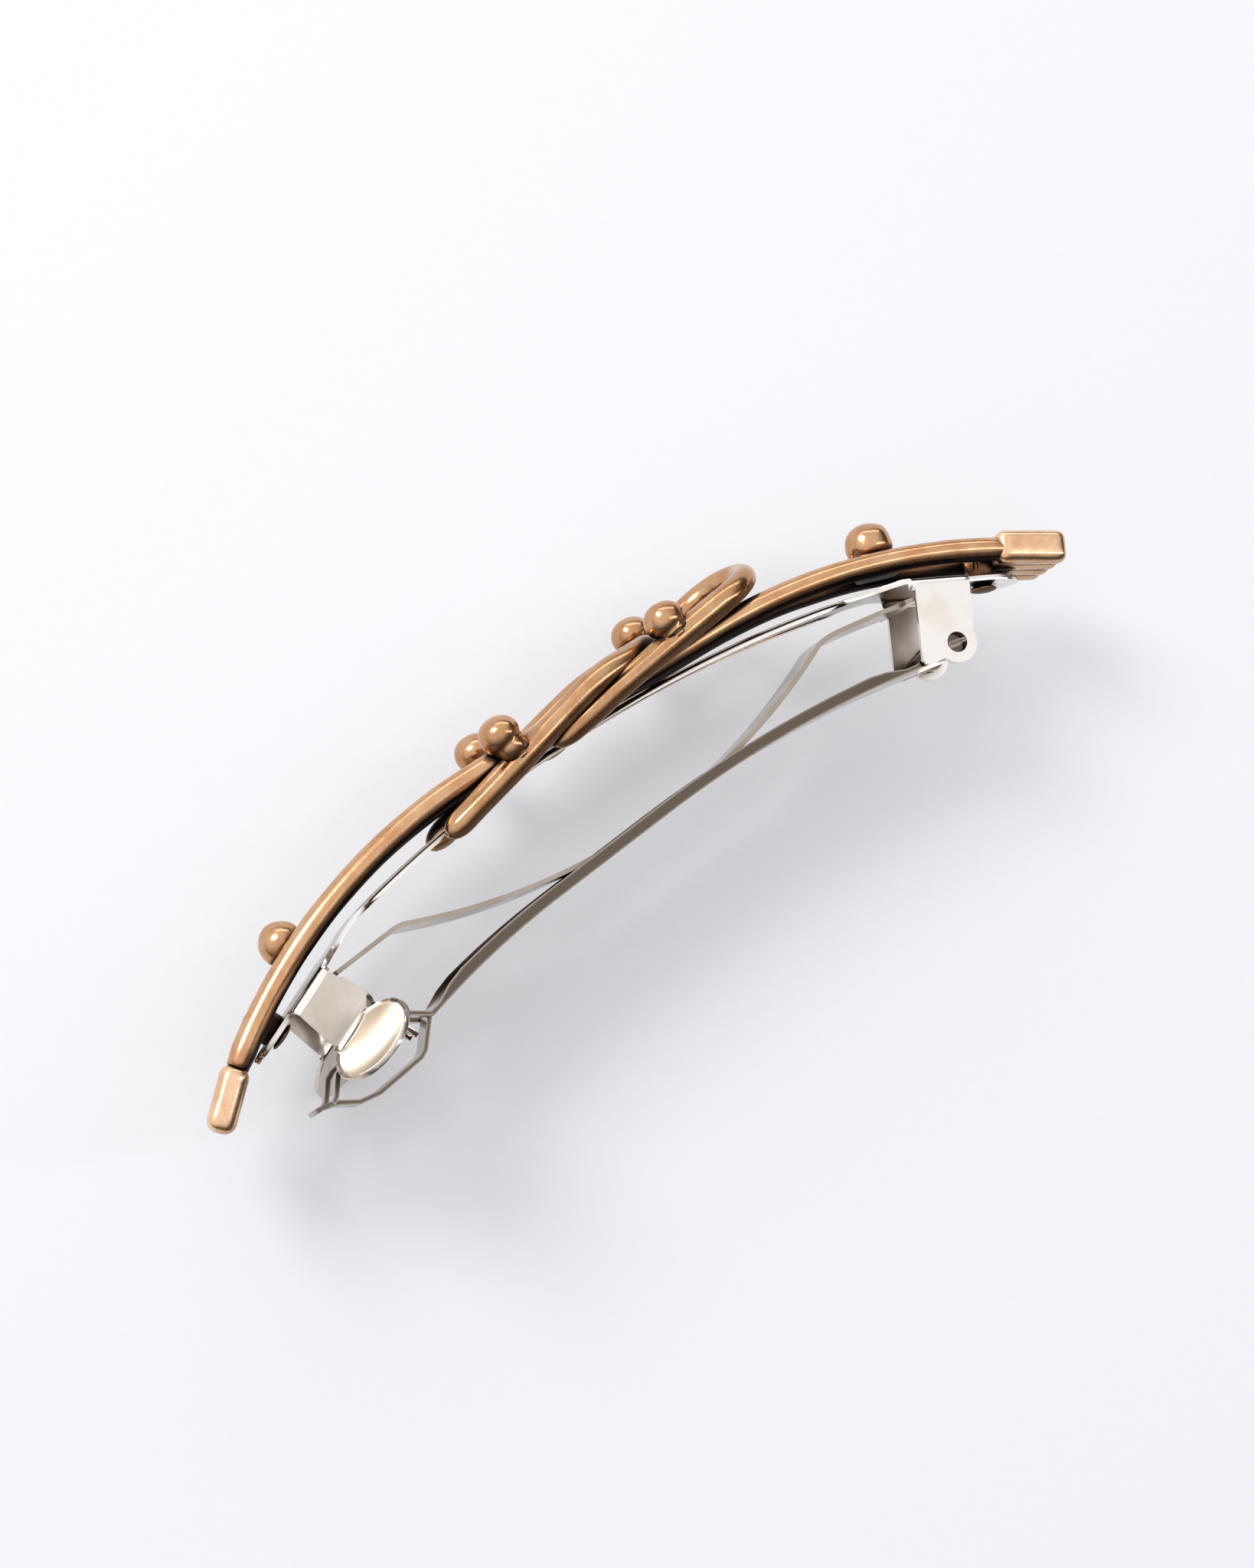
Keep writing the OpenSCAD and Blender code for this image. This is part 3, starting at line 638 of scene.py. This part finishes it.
# %% Side line and outline of the strip
SHEET = 0.5
ARCH_TOP, ARCH_R, ARCH_A = 8.73, 118.0, math.radians(13)
PAD_SLOPE, BEND_R = math.radians(25), 17.0
arch_x = ARCH_R * math.sin(ARCH_A)
bend_centre = Vector((arch_x, ARCH_TOP - ARCH_R * (1 - math.cos(ARCH_A))))
bend_centre -= BEND_R * Vector((math.sin(ARCH_A), math.cos(ARCH_A)))
bend_x = bend_centre.x + BEND_R * math.sin(PAD_SLOPE)
bend_y = bend_centre.y + BEND_R * math.cos(PAD_SLOPE)
STRIP_FROM, STRIP_TO = -41.6, 39.4
END_R = 2.7
STRIP_HALF, LATCH_HALF, EARS_HALF = 2.5, 4.2, 4.0
LATCH_FROM, LATCH_TO = -37.35, -33.4
EARS_FROM, EARS_TO = 28.9, 33.8


def strip_y(x):
    """Height of the strip's middle line: arch, bend, and straight end pad."""
    d = abs(x)
    if d < arch_x:
        return ARCH_TOP - ARCH_R + math.sqrt(ARCH_R ** 2 - d * d)
    if d < bend_x:
        return bend_centre.y + math.sqrt(BEND_R ** 2 - (d - bend_centre.x) ** 2)
    return bend_y - (d - bend_x) * math.tan(PAD_SLOPE)


def ease(t):
    """Runs smoothly from 0 to 1 as t does."""
    t = min(max(t, 0.0), 1.0)
    return t * t * (3 - 2 * t)


def half_width(x):
    """Half the width of the blank at x, with round ends and the two wide parts."""
    near_end = min(x - STRIP_FROM, STRIP_TO - x)
    if near_end < END_R:
        return math.sqrt(max(END_R ** 2 - (END_R - near_end) ** 2, 0.004))
    if x < -33.5 or x > EARS_TO:
        return LATCH_HALF if LATCH_FROM < x < LATCH_TO else END_R
    if x < -31.0:
        return STRIP_HALF + (LATCH_HALF - STRIP_HALF) * (1 - ease((x + 33.5) / 2.5))
    if x > 26.4:
        return STRIP_HALF + (EARS_HALF - STRIP_HALF) * ease((x - 26.4) / 2.6)
    return STRIP_HALF


def turned_down(x):
    """How far the edges are bent over at x, and how deep the turned edge goes."""
    if LATCH_FROM < x < LATCH_TO:
        return 1.0, 0.10
    if EARS_FROM < x < EARS_TO:
        return 1.0, 0.45
    middle = ease((x + 28.7) / 3) * ease((24.4 - x) / 3)
    return middle, 0.10 * middle


def build_base_plate():
    """Grid blank, pulled to its outline and bent row by row."""
    stations = sorted({round(STRIP_FROM + 0.5 * k, 3) for k in range(163)}
                      | {STRIP_FROM + e for e in (0.05, 0.2, 0.45, 0.8, 1.2, 1.7, 2.2)}
                      | {STRIP_TO - e for e in (0.0, 0.05, 0.2, 0.45, 0.8, 1.2, 1.7, 2.2)}
                      | {-37.34, -37.36, -33.42, -33.38, 28.88, 28.92, 33.78, 33.82})
    rows = (0.0, 0.35, 0.70, 0.84, 0.91, 0.96, 0.985, 1.0)
    across = [-r for r in rows[:0:-1]] + list(rows)
    blank = bmesh.new()
    bmesh.ops.create_grid(blank, x_segments=len(stations) - 1, y_segments=len(across) - 1,
                          size=0.5)
    for vert in blank.verts:
        i = round((vert.co.x + 0.5) * (len(stations) - 1))
        j = round((vert.co.y + 0.5) * (len(across) - 1))
        x, v = stations[i], across[j]
        half = half_width(x) - SHEET / 2
        bend, drop = turned_down(x)
        rank = rows.index(abs(v))
        roll = min(0.45 if abs(x) > 28.8 else 0.28, half)
        a = math.radians((0, 0, 0, 30, 60, 90, 90, 90)[rank])
        flat_z = (0, 0.5, 1, 1, 1, 1, 1, 1)[rank] * (half - roll)
        bent_z = flat_z + roll * math.sin(a)
        bent_y = -roll * (1 - math.cos(a)) - drop * max(0, rank - 5) / 2
        z = bent_z * bend + abs(v) * half * (1 - bend)
        below = bent_y * bend
        slope = Vector((0.5, strip_y(x + 0.25) - strip_y(x - 0.25))).normalized()
        z = math.copysign(z, v) if v else 0.0
        vert.co = at(x - slope.y * below, strip_y(x) + slope.x * below, z)
    return blank


def finish_sheet(piece, thickness, rounding):
    """Live modifiers that give a bent blank its thickness and its soft cut edges."""
    sheet = piece.modifiers.new("sheet", "SOLIDIFY")
    sheet.thickness = thickness * MM
    sheet.offset = 0.0
    sheet.use_even_offset = False
    soften = piece.modifiers.new("soft_edges", "BEVEL")
    soften.width = rounding * MM
    soften.segments = 2
    soften.limit_method = "ANGLE"
    soften.angle_limit = math.radians(50)
    even = piece.modifiers.new("even_normals", "WEIGHTED_NORMAL")
    even.weight = 90


# %% Ears of the hinge
EAR_LOBE_R, EAR_HOLE_R, EAR_Z = 1.85, 0.92, 3.8
EAR_X, EAR_Y, _ = HINGE_ON_CLIP


def add_ear(shape, z):
    """One flat ear: a slanted outline with a round lobe, filled round its hole."""
    corners = [(25.9, -1.6), (26.02, -2.0), (26.45, -2.2), (27.85, -2.42)]
    lobe = [(EAR_X + EAR_LOBE_R * math.cos(a), EAR_Y + EAR_LOBE_R * math.sin(a))
            for a in (math.radians(212 + 10 * k) for k in range(16))]
    top = [(33.7, strip_y(33.7) - 0.45), (29.05, strip_y(29.05) - 0.45)]
    rim = [shape.verts.new(at(x, y, z)) for x, y in corners + lobe + top]
    edges = [shape.edges.new(pair) for pair in zip(rim, rim[1:] + rim[:1])]
    hole = bmesh.ops.create_circle(shape, segments=32, radius=EAR_HOLE_R * MM)["verts"]
    bmesh.ops.translate(shape, verts=hole, vec=at(EAR_X, EAR_Y, z))
    ring = list({e for v in hole for e in v.link_edges})
    bmesh.ops.triangle_fill(shape, edges=edges + ring, use_beauty=True, use_dissolve=True,
                            normal=(0, 0, 1))


base = build_base_plate()
for z in (EAR_Z, -EAR_Z):
    add_ear(base, z)
base_sheet = finish_piece("base_sheet", base, nickel_sheet, "clip", ["base_plate"])
finish_sheet(base_sheet, 0.45, 0.07)

# %% [markdown]
# ## Carried-over steel and studs
# The press tabs, the arm, the spring and the studs keep their CAD shape. A weld
# joins their loose triangles. On the tabs and the studs a narrow bevel gives
# every cut edge the tiny round that tumbling and plating leave. The arm and
# the spring are long curved sheets, on which such a bevel pulls the shading
# into streaks, so their edges are only split to stay crisp.

# %% Round the edges of the CAD parts


def keep_node(name, material):
    """Gives a CAD node one material and joins its triangles."""
    part = frame["nodes"][name]
    part.data.materials.clear()
    part.data.materials.append(material)
    part.data.shade_smooth()
    weld = part.modifiers.new("weld", "WELD")
    weld.merge_threshold = 0.0005 * MM
    print(name, "kept")
    return part


def crisp_edges(part):
    """Splits the shading at every cut edge."""
    creases = part.modifiers.new("sharp_edges", "EDGE_SPLIT")
    creases.split_angle = math.radians(30)


def round_edges(part, width):
    """Rounds every cut edge by a narrow bevel."""
    flats = part.modifiers.new("whole_faces", "DECIMATE")
    flats.decimate_type = "DISSOLVE"
    flats.angle_limit = math.radians(0.3)
    rounding = part.modifiers.new("rounded_edges", "BEVEL")
    rounding.width = width * MM
    rounding.segments = 2
    rounding.limit_method = "ANGLE"
    rounding.angle_limit = math.radians(32)
    rounding.harden_normals = True


for side in ("near", "far"):
    round_edges(keep_node("press_tab_" + side, nickel_pressed), 0.06)
crisp_edges(keep_node("clasp_arm", nickel_arm_shaded))
crisp_edges(keep_node("tension_spring", nickel_spring_shaded))
for end in ("left", "right"):
    round_edges(keep_node("rivet_stud_" + end, copper_bead), 0.12)

# %% [markdown]
# ## Floor
# The barrette lies on a plain sheet of pale paper. The sheet glows a little,
# which stands in for the light that a whole white room would throw back on it,
# and keeps the shadows soft and pale.

# %% Floor
floor_shape = bmesh.new()
bmesh.ops.create_grid(floor_shape, x_segments=2, y_segments=2, size=1.5)
floor_mesh = bpy.data.meshes.new("floor")
floor_shape.to_mesh(floor_mesh)
floor_shape.free()
floor = bpy.data.objects.new("floor", floor_mesh)
scene.collection.objects.link(floor)
paper, paper_tree, paper_shader, paper_add = new_material("pale_paper")
fibre = paper_add("ShaderNodeTexNoise", {"Vector": paper_add("ShaderNodeTexCoord").outputs["Object"]},
                  Scale=900.0, Detail=4.0)
tone = blend_colour(paper_add, fibre.outputs["Fac"], (0.54, 0.545, 0.56, 1), (0.56, 0.565, 0.58, 1))
paper_tree.links.new(tone, paper_shader.inputs["Base Color"])
paper_shader.inputs["Roughness"].default_value = 0.9
paper_shader.inputs["Emission Color"].default_value = (0.92, 0.94, 1.0, 1)
paper_shader.inputs["Emission Strength"].default_value = 0.28
floor_mesh.materials.append(paper)
